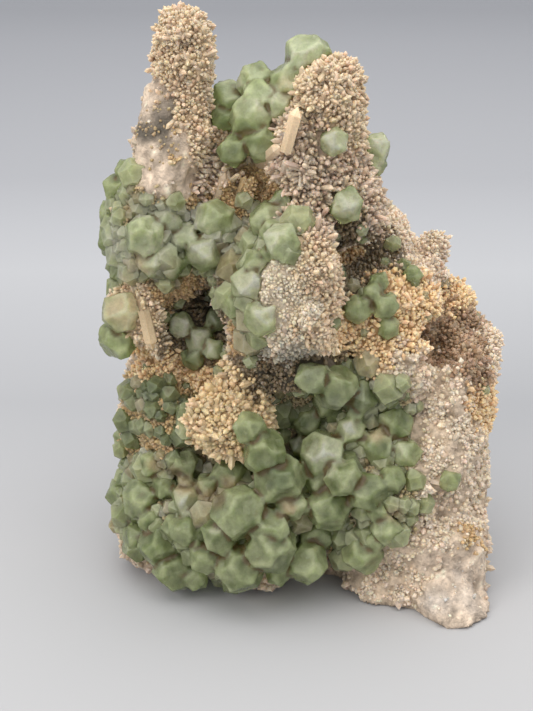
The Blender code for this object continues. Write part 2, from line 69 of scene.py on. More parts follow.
# The rock is vein quartz, broken from the wall of a pocket: massive and pinkish white on the right flank,
# stained with iron, and overgrown everywhere else by later crusts. Its colour follows these patches, each
# given as across, up, how far it reaches in millimetres, and its kind. The blackish patches along the right
# side of the knob in the middle and under it, and those in the hollow at the right edge, are painted shade;
# the blackish patches further left are rock in the hollow behind deep green crystals.
ROCK_VOXEL = 0.85 * MM
ROCK_PATCHES = (
    (-28, 150, 9, "cream"), (-25, 140, 7, "cream"), (-33, 141, 5, "cream"), (-36, 132, 5, "massive"),
    (-25, 128, 7, "cream"), (-24, 120, 5, "cream"), (-39, 125, 3, "smoke"), (-33.5, 129, 4.5, "smoke"),
    (-32.5, 122, 4, "smoke"), (-33, 133, 3, "smoke"), (-34, 126, 3.5, "smoke"), (-34, 119, 3, "smoke"),
    (-31.5, 125, 1.6, "stain"), (-31, 119, 1.4, "stain"),
    (-30, 117, 6, "massive"), (-38, 118, 5, "massive"), (-32, 112, 5, "massive"),
    (-22, 113, 5, "mauve"), (-20, 108, 6, "stain"), (-36, 138, 4, "massive"), (-29, 124, 3.5, "massive"),
    (7, 140, 8, "cream"), (12, 134, 8, "cream"), (0, 130, 6, "cream"), (14, 124, 9, "cream"),
    (4, 122, 8, "mauve"), (8, 113, 9, "mauve"), (-2, 115, 6, "mauve"), (18, 111, 8, "mauve"),
    (-8, 108, 6, "stain"), (14, 102, 6, "dark_and_shaded"), (22, 94, 7, "dark_and_shaded"), (4, 104, 6, "mauve"),
    (26, 98, 8, "blush"), (34, 92, 7, "blush"), (30, 86, 7, "rust"), (40, 84, 6, "rust"),
    (36, 78, 6, "shaded_recess"), (42, 76, 6, "shaded_recess"), (44, 68, 6, "shaded_recess"), (38, 68, 5, "shaded_recess"),
    (48, 66, 4, "blush"), (48, 56, 5, "rust"), (49, 74, 4, "blush"),
    (-4, 88, 7, "sugar"), (-2, 80, 7, "sugar"), (5, 92, 6, "cream"), (8, 84, 6, "cream"),
    (7, 74, 6, "cream"), (0, 70, 4, "grey"), (-8, 70, 4, "grey"), (-14, 73, 3, "stain"),
    (-12, 92, 5, "moss"), (-14, 84, 5, "moss"), (-12, 78, 4, "moss"), (-5, 97, 5, "moss"),
    (12, 96, 4, "rust"), (10, 66, 5, "dark_and_shaded"), (-8, 64, 6, "dark_and_shaded"), (0, 63, 5, "dark_and_shaded"),
    (18, 76, 7, "rust"), (24, 84, 6, "rust"), (28, 76, 6, "rust"), (27, 66, 6, "crumb"),
    (14, 86, 5, "dark_and_shaded"), (20, 68, 4, "rust"), (33, 64, 7, "crumb"), (40, 54, 10, "crumb"),
    (38, 40, 9, "crumb"), (36, 28, 9, "crumb"), (44, 30, 6, "crumb"), (46, 44, 7, "crumb"),
    (38, 14, 11, "massive"), (42, 4, 10, "massive"), (46, 20, 5, "massive"),
    (42, 8, 6, "slate"), (40, 15, 3, "slate"), (35, 8, 4, "slate"), (28, 12, 6, "crumb"),
    (22, 14, 6, "crumb"), (44, 24, 4, "stain"), (46, 58, 6, "rust"), (31, 46, 5, "crumb"),
    (-30, 85, 6, "stain"), (-20, 86, 5, "dark_and_shaded"), (-28, 78, 8, "dark_and_shaded"), (-22, 72, 6, "dark_and_shaded"),
    (-34, 72, 4, "dark_and_shaded"), (-42, 80, 6, "cream"), (-36, 73, 5, "cream"),
    (-38, 66, 5, "rust"), (-28, 65, 6, "rust"), (-20, 64, 5, "rust"), (-40, 60, 6, "green"),
    (-34, 56, 8, "green"), (-27, 56, 5, "green"), (-38, 48, 7, "green"), (-30, 47, 7, "green"),
    (-17, 55, 8, "apron"), (-10, 52, 6, "apron"), (-23, 51, 6, "apron"), (-16, 46, 5, "apron"),
    (-36, 34, 10, "moss"), (-26, 28, 9, "moss"), (-14, 24, 9, "moss"), (0, 30, 10, "moss"),
    (10, 46, 9, "moss"), (20, 34, 9, "moss"), (16, 54, 8, "moss"), (4, 60, 7, "moss"), (22, 58, 6, "moss"),
    (-32, 96, 8, "moss"), (-24, 100, 6, "moss"), (-40, 104, 7, "moss"), (-44, 94, 6, "moss"),
    (-12, 104, 5, "moss"), (14, 64, 5, "moss"), (27, 47, 5, "crumb"), (-42, 14, 6, "moss"),
    (-30, 12, 8, "moss"),
)
ROCK_COLOURS = {
    "cream": (0.56, 0.41, 0.26), "sugar": (0.60, 0.50, 0.37), "mauve": (0.37, 0.27, 0.20),
    "stain": (0.36, 0.22, 0.10), "grey": (0.27, 0.24, 0.19), "dark_and_shaded": (0.05, 0.038, 0.022),
    "rust": (0.42, 0.25, 0.11), "shaded_recess": (0.15, 0.085, 0.045), "massive": (0.76, 0.60, 0.455),
    "blush": (0.62, 0.49, 0.36), "slate": (0.46, 0.42, 0.385), "apron": (0.52, 0.37, 0.21),
    "green": (0.18, 0.14, 0.07), "moss": (0.10, 0.085, 0.040),
    "back": (0.42, 0.32, 0.23), "crumb": (0.68, 0.53, 0.385), "smoke": (0.085, 0.07, 0.05),
}
KINDS = tuple(ROCK_COLOURS)
# The patches run into each other along wandering borders, given as the size of the swells, their seeds and
# how far they go. What no patch reaches is the broken back.
BORDER_SWELLS = ((7, (1, 2, 3), 1.6), (2.2, (4, 5, 6), 0.7))
PATCH_FALL_OFF = 1.8
PATCH_CONTRAST = 1.6
BACK_SHARE = 0.02
# Swells in the skin of the rock are given as their size and height in millimetres and their seed. Broken
# quartz also has creases and pits, in the shares given for each of its kinds. The flat base stays flat.
ROCK_SWELLS = ((6, 0.30, 11), (2.6, 0.22, 12), (1.3, 0.13, 13))
BROKEN_KINDS = ("massive", "crumb", "back")
CREASE_SWELLS = ((9, 0.9, 14), (4, 0.55, 15))
FIBRE_SWELLS = ((2.2, 0.30, 16),)
FIBRE_STRETCH = (1.6, 1.6, 0.7)
CREASE_LEVEL = 0.9
CREASE_SHARES = (1.0, 0.5, 0.7)
PIT_SWELLS = ((6.5, 1.0, 17), (3.2, 0.6, 18))
PIT_LEVEL = 0.7
PIT_DEPTH = 1.3
PIT_SHARES = (0.2, 1.0, 0.5)
FLAT_BELOW = 0.6 * MM
# The tint is streaked upward and clouded where the quartz is broken, darkened by painted shade in creases
# and pits, and mottled.
STREAK_SWELLS = ((1.8, 1.0, 23),)
STREAK_STRETCH = (1.0, 1.0, 0.22)
CLOUD_SWELLS = ((5, 0.8, 24),)
STREAK_STRENGTH = 0.24
STREAK_SHARES = (1.0, 0.3, 0.6)
CREASE_SHADE = 0.22
CREASE_SHADE_SHARES = (1.0, 0.6, 0.8)
PIT_SHADE = 0.15
OPEN_STRENGTH = 1.12
MOTTLE_SWELLS = ((4, 0.10, 21), (1.1, 0.08, 22))


def mesh_numbers(mesh):
    """Corner positions and triangles of a mesh, as arrays."""
    places = np.empty(len(mesh.vertices) * 3, np.float32)
    mesh.vertices.foreach_get("co", places)
    mesh.calc_loop_triangles()
    triangles = np.empty(len(mesh.loop_triangles) * 3, np.int32)
    mesh.loop_triangles.foreach_get("vertices", triangles)
    return places.reshape(-1, 3).astype(float), triangles.reshape(-1, 3)


def ripple(places, size, seed):
    """Smooth waviness, mostly from -1 to 1 over the places, with swells of the given size."""
    waves = 14
    chance = np.random.default_rng(seed)
    total = np.zeros(len(places))
    for _ in range(waves):
        direction = chance.normal(size=3)
        direction /= np.linalg.norm(direction)
        wave = math.tau / (size * chance.uniform(0.7, 1.6))
        total += np.sin(places @ direction * wave + chance.uniform(0, math.tau))
    return total / waves ** 0.5 / 1.4


def swells(places, table):
    """The swells of a table, added up."""
    return sum(height * ripple(places, size * MM, seed) for size, height, seed in table)


def folds(places, table):
    """The same, each folded over at its middle height, which leaves sharp lines."""
    return sum(height * np.abs(ripple(places, size * MM, seed)) for size, height, seed in table)


def clean_copy(node, name, voxel):
    """A finely meshed copy of a solid, to be worked on."""
    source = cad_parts[node]
    copy = bpy.data.objects.new(name, source.data.copy())
    copy.data.name = name
    bpy.context.scene.collection.objects.link(copy)
    modifier = copy.modifiers.new("fine", "REMESH")
    modifier.mode = "VOXEL"
    modifier.voxel_size = voxel
    modifier.use_smooth_shade = True
    graph = bpy.context.evaluated_depsgraph_get()
    fine = bpy.data.meshes.new_from_object(copy.evaluated_get(graph))
    copy.modifiers.clear()
    copy.data = fine
    return copy


def normals_of(mesh):
    """The way that the skin faces at each corner."""
    normals = np.empty(len(mesh.vertices) * 3, np.float32)
    mesh.vertices.foreach_get("normal", normals)
    return normals.reshape(-1, 3).astype(float)


def paint_points(mesh, name, colours):
    """A colour for each corner, kept with the mesh under a name."""
    layer = mesh.color_attributes.new(name, "FLOAT_COLOR", "POINT")
    layer.data.foreach_set("color", np.hstack([colours, np.ones((len(colours), 1))]).ravel())


rock = clean_copy("quartz_rock", "rock", ROCK_VOXEL)
rock_places, _ = mesh_numbers(rock.data)
rock_skin = BVHTree.FromPolygons(
    [Vector(place) for place in rock_places], [tuple(face.vertices) for face in rock.data.polygons]
)


def line_of_sight(across, up):
    """The way from the eye to a place on the front."""
    right = (across - VIEW_MIDDLE[0]) * MM
    above = (up - VIEW_MIDDLE[1]) * MM
    return (VIEW_FORWARD * VIEW_DISTANCE + Vector((right, 0, 0)) + VIEW_UP * above).normalized()


def on_rock(across, up):
    """Where the rock is seen at a place on the front, or else the rock nearest to it."""
    line = line_of_sight(across, up)
    hit = rock_skin.ray_cast(EYE, line)[0]
    return hit if hit is not None else rock_skin.find_nearest(EYE + line * VIEW_DISTANCE)[0]


patch_middles = np.array([on_rock(across, up) for across, up, _, _ in ROCK_PATCHES])
patch_reaches = np.array([reach for _, _, reach, _ in ROCK_PATCHES]) * MM
patch_kinds = np.array([KINDS.index(kind) for _, _, _, kind in ROCK_PATCHES])


def shares_at(places):
    """How much of each kind of surface there is at each place."""
    moved = places
    for size, seeds, far in BORDER_SWELLS:
        moved = moved + np.stack([ripple(places, size * MM, seed) for seed in seeds], axis=1) * far * MM
    shares = np.zeros((len(places), len(KINDS)))
    for middle, reach, kind in zip(patch_middles, patch_reaches, patch_kinds):
        gap = np.linalg.norm(moved - middle, axis=1) / reach
        shares[:, kind] += np.exp(-PATCH_FALL_OFF * gap ** 2)
    shares[:, KINDS.index("back")] += BACK_SHARE
    shares = shares ** PATCH_CONTRAST
    return shares / shares.sum(axis=1, keepdims=True)


rock_normals = normals_of(rock.data)
broken = shares_at(rock_places)[:, [KINDS.index(kind) for kind in BROKEN_KINDS]]
creases = folds(rock_places, CREASE_SWELLS) + folds(rock_places * FIBRE_STRETCH, FIBRE_SWELLS)
pits = folds(rock_places, PIT_SWELLS)
creased = (CREASE_LEVEL - creases) * (broken @ CREASE_SHARES)
pitted = (PIT_LEVEL - pits) * PIT_DEPTH * (broken @ PIT_SHARES)
relief = swells(rock_places, ROCK_SWELLS) + (creased + pitted)
standing = rock_places[:, 2] > FLAT_BELOW
rock_places[standing] += (rock_normals * relief[:, None] * MM)[standing]
rock_places[:, 2] = np.maximum(rock_places[:, 2], 0)
rock.data.vertices.foreach_set("co", rock_places.astype(np.float32).ravel())
rock.data.update()

rock_tints = shares_at(rock_places) @ np.array([ROCK_COLOURS[kind] for kind in KINDS])
streaks = swells(rock_places * STREAK_STRETCH, STREAK_SWELLS) + swells(rock_places, CLOUD_SWELLS)
crumbled = broken[:, BROKEN_KINDS.index("crumb")]
shaded = CREASE_SHADE * creases * (broken @ CREASE_SHADE_SHARES) + PIT_SHADE * pits * crumbled
rock_tints *= (1 + STREAK_STRENGTH * streaks * (broken @ STREAK_SHARES))[:, None]
rock_tints *= (OPEN_STRENGTH - shaded)[:, None]
rock_tints *= (1 + swells(rock_places, MOTTLE_SWELLS))[:, None]
paint_points(rock.data, "stone_colour", np.clip(rock_tints, 0.01, 0.9))


def new_look(name):
    """A new material, its nodes and its main shader."""
    look = bpy.data.materials.new(name)
    look.use_nodes = True
    tree = look.node_tree
    return look, tree, tree.nodes["Principled BSDF"]


def wire(tree, source, output, target, socket):
    """A link from an output of one node to a socket of another."""
    tree.links.new(source.outputs[output], target.inputs[socket])


def noise_of(tree, scale, detail=4.0, roughness=0.6):
    """An even grain over the piece, with so many swells to a metre."""
    place = tree.nodes.new("ShaderNodeTexCoord")
    node = tree.nodes.new("ShaderNodeTexNoise")
    node.inputs["Scale"].default_value = scale
    node.inputs["Detail"].default_value = detail
    node.inputs["Roughness"].default_value = roughness
    wire(tree, place, "Object", node, "Vector")
    return node


def raised(tree, shader, pattern, depth):
    """Small relief from a pattern, as deep as depth in metres."""
    bump = tree.nodes.new("ShaderNodeBump")
    bump.inputs["Distance"].default_value = depth
    wire(tree, pattern, "Fac", bump, "Height")
    wire(tree, bump, "Normal", shader, "Normal")
    return bump


def faceted(tree, shader, cells, lean, grain, depth):
    """Small growth or break facets, each leaning its own way, with a finer grain over them."""
    place = tree.nodes.new("ShaderNodeTexCoord")
    mosaic = tree.nodes.new("ShaderNodeTexVoronoi")
    mosaic.inputs["Scale"].default_value = cells
    wire(tree, place, "Object", mosaic, "Vector")
    centred = tree.nodes.new("ShaderNodeVectorMath")
    centred.operation = "SUBTRACT"
    centred.inputs[1].default_value = (0.5, 0.5, 0.5)
    wire(tree, mosaic, "Color", centred, "Vector")
    leaning = tree.nodes.new("ShaderNodeVectorMath")
    leaning.operation = "SCALE"
    leaning.inputs["Scale"].default_value = lean
    wire(tree, centred, "Vector", leaning, "Vector")
    out = tree.nodes.new("ShaderNodeNewGeometry")
    leaned = tree.nodes.new("ShaderNodeVectorMath")
    wire(tree, out, "Normal", leaned, "Vector")
    tree.links.new(leaning.outputs["Vector"], leaned.inputs[1])
    even = tree.nodes.new("ShaderNodeVectorMath")
    even.operation = "NORMALIZE"
    wire(tree, leaned, "Vector", even, "Vector")
    bump = raised(tree, shader, noise_of(tree, grain, detail=6, roughness=0.65), depth)
    wire(tree, even, "Vector", bump, "Normal")


def tinted(tree, shader, attribute, pattern, low, high):
    """Base colour from the painted tint, varied between two strengths by a pattern."""
    tint = tree.nodes.new("ShaderNodeAttribute")
    tint.attribute_name = attribute
    spread = tree.nodes.new("ShaderNodeMapRange")
    spread.inputs["To Min"].default_value = low
    spread.inputs["To Max"].default_value = high
    spread.inputs["From Min"].default_value = 0.3
    spread.inputs["From Max"].default_value = 0.7
    wire(tree, pattern, "Fac", spread, "Value")
    mix = tree.nodes.new("ShaderNodeVectorMath")
    mix.operation = "SCALE"
    wire(tree, tint, "Color", mix, "Vector")
    wire(tree, spread, "Result", mix, "Scale")
    wire(tree, mix, "Vector", shader, "Base Color")


quartz_stone, tree, shader = new_look("quartz_stone")
tinted(tree, shader, "stone_colour", noise_of(tree, 900), low=0.75, high=1.2)
shader.inputs["Roughness"].default_value = 0.55
shader.inputs["IOR"].default_value = 1.54
faceted(tree, shader, cells=420, lean=0.75, grain=1300, depth=0.0007)
rock.data.materials.clear()
rock.data.materials.append(quartz_stone)
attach(rock, "root")
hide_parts("quartz_rock")

# Most of the rock wears a druse: a crust of quartz crystals a millimetre or so wide that grew out from it
# side by side. Each kind of surface has its own crystals, given as how many to a square centimetre, their
# least and greatest width, length over width, and colour.
DRUSE = {
    "cream": (190, 0.65, 1.45, 1.35, (0.63, 0.48, 0.325)),
    "mauve": (160, 0.75, 1.5, 1.9, (0.60, 0.465, 0.345)),
    "sugar": (190, 0.6, 1.3, 0.9, (0.70, 0.58, 0.43)),
    "blush": (190, 0.6, 1.3, 1.2, (0.75, 0.59, 0.445)),
    "stain": (170, 0.6, 1.2, 1.0, (0.50, 0.34, 0.18)),
    "rust": (180, 0.65, 1.4, 1.3, (0.82, 0.565, 0.33)),
    # The crust in the hollow at the right edge is darkened as painted shade, and so is the blackish crust
    # along and under the knob; further left that crust is blackish quartz.
    "shaded_recess": (130, 0.9, 1.8, 1.0, (0.36, 0.24, 0.15)),
    "apron": (140, 0.9, 2.1, 1.35, (0.66, 0.49, 0.29)),
    "green": (190, 0.6, 1.4, 1.0, (0.46, 0.325, 0.17)),
    "moss": (90, 0.6, 1.3, 1.0, (0.46, 0.36, 0.21)),
    "massive": (2, 0.5, 1.1, 0.5, (0.66, 0.54, 0.42)),
    "slate": (2, 0.5, 1.1, 0.5, (0.50, 0.46, 0.42)),
    "crumb": (130, 0.6, 1.8, 0.75, (0.70, 0.56, 0.42)),
    "smoke": (12, 0.5, 1.0, 0.7, (0.40, 0.30, 0.17)),
    "grey": (80, 0.7, 1.4, 0.8, (0.38, 0.34, 0.27)),
    "dark_and_shaded": (80, 0.6, 1.3, 1.1, (0.18, 0.135, 0.08)),
    "back": (45, 0.9, 2.2, 0.8, (0.58, 0.46, 0.34)),
}
# Places are drawn all over the rock. More are kept than each kind asks for, as those that stand closer than
# a share of the crystal's width are then left out. Broken faces have druse in patches only, given as their
# size in millimetres, their middle share, how much it varies, the least of it, and a seed.
DRUSE_PLACES = 190000
DRUSE_SURPLUS = 3.2
DRUSE_SPACING = 0.52
DRUSE_PATCHES = {"back": (16, 0.35, 0.9, 0.03, 33), "crumb": (6, 0.45, 1.1, 0.06, 34)}
DRUSE_LOWEST = 1.5 * MM
FLUORITE_CLEARANCE = 0.6 * MM
# How far the crystals of a crust lean away from straight out and up, how much they differ in length, tone
# and hue, and how many of them are longer than the rest.
DRUSE_LEAN = 0.36
DRUSE_RISE = (0, 0, 0.18)
DRUSE_LENGTHS = (0.7, 1.3)
DRUSE_TONES = (0.80, 1.14)
DRUSE_HUES = (0.96, 1.04)
LONGER_SHARE = 0.12
LONGER_BY = 1.45
DRUSE_HALFWAY_UP = 72 * MM
# In shares of a crystal's width: how far its foot is sunk, how wide its foot is, how high its point is, how
# uneven its shoulder is and how far its tip is off the middle. Its foot is darker than its tip: painted shade
# at the foot among the close-set crystals, and a paler tip, partly white quartz and partly painted light.
FOOT_SUNK = 0.5
FOOT_WIDTH = 0.92
POINT_HEIGHT = 0.62
UNEVEN_SIDES = (0.85, 1.15)
UNEVEN_SHOULDER = 0.12
TIP_OFF = 0.15
FOOT_SHADE = 0.78
TIP_SHADE = 1.2
# The prism below the point takes at least this share of the length.
LEAST_PRISM = 0.25


def scatter(mesh, count, seed):
    """Places spread evenly over a mesh, and the way that its skin faces there."""
    places, triangles = mesh_numbers(mesh)
    chance = np.random.default_rng(seed)
    a, b, c = (places[triangles[:, k]] for k in range(3))
    crosses = np.cross(b - a, c - a)
    areas = np.linalg.norm(crosses, axis=1)
    picked = chance.choice(len(triangles), size=count, p=areas / areas.sum())
    u, v = chance.random(count), chance.random(count)
    over = u + v > 1
    u[over], v[over] = 1 - u[over], 1 - v[over]
    spots = a[picked] + (b - a)[picked] * u[:, None] + (c - a)[picked] * v[:, None]
    facing = crosses[picked] / areas[picked][:, None]
    return spots, facing, areas.sum() / 2


def thinned(spots, spacing):
    """Which spots to keep so that no two stand closer than the spacing of the later one."""
    kept = []
    taken = {}
    cell = spacing.max()
    for index, (spot, room) in enumerate(zip(spots, spacing)):
        key = tuple(np.floor(spot / cell).astype(int))
        near = [
            other for x in (-1, 0, 1) for y in (-1, 0, 1) for z in (-1, 0, 1)
            for other in taken.get((key[0] + x, key[1] + y, key[2] + z), ())
        ]
        if all(np.sum((spot - spots[other]) ** 2) > room ** 2 for other in near):
            kept.append(index)
            taken.setdefault(key, []).append(index)
    return np.array(kept)


def joined_piece(name, points, corners, sizes, colours):
    """One flat-faced piece from its points, the corners of its faces in turn, and how many each face has."""
    mesh = bpy.data.meshes.new(name)
    mesh.vertices.add(len(points))
    mesh.vertices.foreach_set("co", points.astype(np.float32).ravel())
    mesh.loops.add(len(corners))
    mesh.loops.foreach_set("vertex_index", corners.astype(np.int32))
    mesh.polygons.add(len(sizes))
    mesh.polygons.foreach_set("loop_start", (np.cumsum(sizes) - sizes).astype(np.int32))
    mesh.update(calc_edges=True)
    mesh.shade_flat()
    paint_points(mesh, "crystal_colour", colours)
    piece = bpy.data.objects.new(name, mesh)
    bpy.context.scene.collection.objects.link(piece)
    return piece


def quartz_crystals(name, feet, axes, widths, lengths, colours, seed, sides=6):
    """Quartz crystals as one piece: a prism from each foot along its axis, closed by a pyramid."""
    chance = np.random.default_rng(seed)
    count = len(feet)
    helper = np.where(np.abs(axes[:, 2:3]) < 0.8, [[0.0, 0.0, 1.0]], [[1.0, 0.0, 0.0]])
    across = np.cross(axes, helper)
    across /= np.linalg.norm(across, axis=1, keepdims=True)
    over = np.cross(axes, across)
    turns = chance.uniform(0, math.tau, count)[:, None] + np.arange(sides) * math.tau / sides
    ring = across[:, None, :] * np.cos(turns)[..., None] + over[:, None, :] * np.sin(turns)[..., None]
    reach = (widths[:, None] / 2 * chance.uniform(*UNEVEN_SIDES, (count, sides)))[..., None]
    low = feet[:, None, :] + ring * reach * FOOT_WIDTH - (axes * widths[:, None] * FOOT_SUNK)[:, None, :]
    shoulder = np.maximum(lengths - widths * POINT_HEIGHT, lengths * LEAST_PRISM)
    drop = chance.uniform(-UNEVEN_SHOULDER, UNEVEN_SHOULDER, (count, sides)) * widths[:, None]
    high = feet[:, None, :] + ring * reach + axes[:, None, :] * (shoulder[:, None] + drop)[..., None]
    off = ring[:, 0, :] * (widths * chance.uniform(0, TIP_OFF, count))[:, None]
    peak = feet + axes * lengths[:, None] + off
    points = np.concatenate([low, high, peak[:, None, :]], axis=1).reshape(-1, 3)
    start = (np.arange(count) * (2 * sides + 1))[:, None, None]
    k = np.arange(sides)
    n = (k + 1) % sides
    quads = start + np.stack([k, n, n + sides, k + sides], axis=1)[None]
    caps = start + np.stack([k + sides, n + sides, np.full(sides, 2 * sides)], axis=1)[None]
    corners = np.concatenate([quads.reshape(count, -1), caps.reshape(count, -1)], axis=1).ravel()
    sizes = np.tile(np.array([4] * sides + [3] * sides), count)
    # Painted shade darkens each foot, and the tip is paler, partly white quartz and partly painted light.
    shade = np.array([FOOT_SHADE] * sides + [1.0] * sides + [TIP_SHADE])
    tints = (colours[:, None, :] * shade[None, :, None]).reshape(-1, 3)
    return joined_piece(name, points, corners, sizes, np.clip(tints, 0.005, 0.95))


fluorite_nodes = [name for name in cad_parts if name.startswith("fluorite")]


def skin_of(solid):
    """The skin of a solid, to measure to."""
    places, triangles = mesh_numbers(solid.data)
    return BVHTree.FromPolygons([Vector(p) for p in places], [tuple(int(k) for k in t) for t in triangles])


fluorite_skins = [skin_of(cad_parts[name]) for name in fluorite_nodes]


def under_fluorite(place, reach):
    """True where fluorite covers the place or stands closer than reach."""
    return any(skin.find_nearest(place, reach)[0] is not None for skin in fluorite_skins)


spots, facing, rock_area = scatter(rock.data, DRUSE_PLACES, 31)
shares = shares_at(spots)
chance = np.random.default_rng(32)
picks = (shares.cumsum(axis=1) > chance.random(len(spots))[:, None]).argmax(axis=1)
table = [DRUSE[kind] for kind in KINDS]
per_cm2 = np.array([row[0] for row in table], float)[picks]
least = np.array([row[1] for row in table])[picks] * MM
most = np.array([row[2] for row in table])[picks] * MM
slender = np.array([row[3] for row in table])[picks]
tints = np.array([row[4] for row in table])[picks]
widths = least + (most - least) * chance.random(len(spots)) ** 1.5
for kind, (size, middle, spread, lowest, seed) in DRUSE_PATCHES.items():
    share = np.clip(middle + spread * ripple(spots, size * MM, seed), lowest, 1)
    per_cm2 *= np.where(picks == KINDS.index(kind), share, 1)
places_per_cm2 = len(spots) / (rock_area * 1e4)
keep = chance.random(len(spots)) < per_cm2 * DRUSE_SURPLUS / places_per_cm2
keep &= spots[:, 2] > DRUSE_LOWEST
order = np.flatnonzero(keep)
order = order[thinned(spots[order], DRUSE_SPACING * widths[order])]
order = np.array([k for k in order if not under_fluorite(Vector(spots[k]), FLUORITE_CLEARANCE)])
axes = facing[order] + chance.normal(0, DRUSE_LEAN, (len(order), 3)) + np.array(DRUSE_RISE)
axes /= np.linalg.norm(axes, axis=1, keepdims=True)
lengths = widths[order] * slender[order] * chance.uniform(*DRUSE_LENGTHS, len(order))
lengths[chance.random(len(order)) < LONGER_SHARE] *= LONGER_BY
colours = tints[order] * chance.uniform(*DRUSE_TONES, (len(order), 1))
colours *= chance.uniform(*DRUSE_HUES, (len(order), 3))
front = spots[order][:, 1] < 0

druse_quartz, tree, shader = new_look("druse_quartz")
tinted(tree, shader, "crystal_colour", noise_of(tree, 2500), low=0.85, high=1.15)
shader.inputs["Roughness"].default_value = 0.3
shader.inputs["IOR"].default_value = 1.54
shader.inputs["Subsurface Weight"].default_value = 0.5
shader.inputs["Subsurface Radius"].default_value = (0.0012, 0.0009, 0.0006)
shader.inputs["Subsurface Scale"].default_value = 1.0
raised(tree, shader, noise_of(tree, 3000), depth=0.0001)

upper = spots[order][:, 2] > DRUSE_HALFWAY_UP
for name, chosen in (
    ("druse_upper_front", front & upper), ("druse_lower_front", front & ~upper),
    ("druse_upper_back", ~front & upper), ("druse_lower_back", ~front & ~upper),
):
    crust = quartz_crystals(
        name, spots[order][chosen], axes[chosen], widths[order][chosen], lengths[chosen], colours[chosen],
        sides=6 if name.endswith("front") else 5, seed=41,
    )
    crust.data.materials.append(druse_quartz)
    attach(crust, "root")

# A few quartz crystals are much longer than the rest of the crust: one cream needle beside the crest, stubby
# prisms on the seam below it, and a splinter on the right flank. Each is given by its foot and its tip, as
# across, up and how far it stands out from the rock, then its width and its colour.
LONG_CRYSTALS = (
    ((-2.6, 121.5, 4.5), (0, 131.2, 6.5), 3.0, (0.74, 0.56, 0.36)),
    ((-9, 117.5, 1.5), (-4.5, 121.5, 4), 2.8, (0.66, 0.51, 0.35)),
    ((-20, 109, 0.5), (-18, 115, 3), 2.6, (0.56, 0.43, 0.30)),
    ((-14.5, 110, 0.5), (-13, 114, 3), 2.2, (0.60, 0.43, 0.24)),
    ((34, 37.5, 0.5), (38.5, 36.5, 2.5), 2.0, (0.66, 0.53, 0.40)),
    ((-4, 113, 1), (-3, 118, 3.5), 1.8, (0.58, 0.47, 0.37)),
    ((-38.2, 79, 0.8), (-36.2, 70.5, 1.2), 3.2, (0.58, 0.44, 0.27)),
)
# A tip stands no more than this nearer to the eye than its foot, and no more than this behind it.
TIP_NEARER = 14 * MM
TIP_BEHIND = 3 * MM


def beside_rock(across, up, out, near):
    """A point that stands out of the rock at a place on the front, kept at about the depth of near."""
    line = line_of_sight(across, up)
    depth = (on_rock(across, up) - EYE).dot(VIEW_FORWARD)
    if near is not None:
        middle = (near - EYE).dot(VIEW_FORWARD)
        depth = max(middle - TIP_NEARER, min(depth, middle + TIP_BEHIND))
    return EYE + line * ((depth - out * MM) / line.dot(VIEW_FORWARD))


long_feet = [beside_rock(*foot, None) for foot, _, _, _ in LONG_CRYSTALS]
long_tips = np.array([beside_rock(*tip, foot) for foot, (_, tip, _, _) in zip(long_feet, LONG_CRYSTALS)])
long_feet = np.array(long_feet)
long_axes = long_tips - long_feet
long_lengths = np.linalg.norm(long_axes, axis=1)
long_quartz = quartz_crystals(
    "long_quartz_crystals", long_feet, long_axes / long_lengths[:, None],
    np.array([row[2] for row in LONG_CRYSTALS]) * MM, long_lengths,
    np.array([row[3] for row in LONG_CRYSTALS]), seed=44,
)
long_quartz.data.materials.append(druse_quartz)
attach(long_quartz, "root")
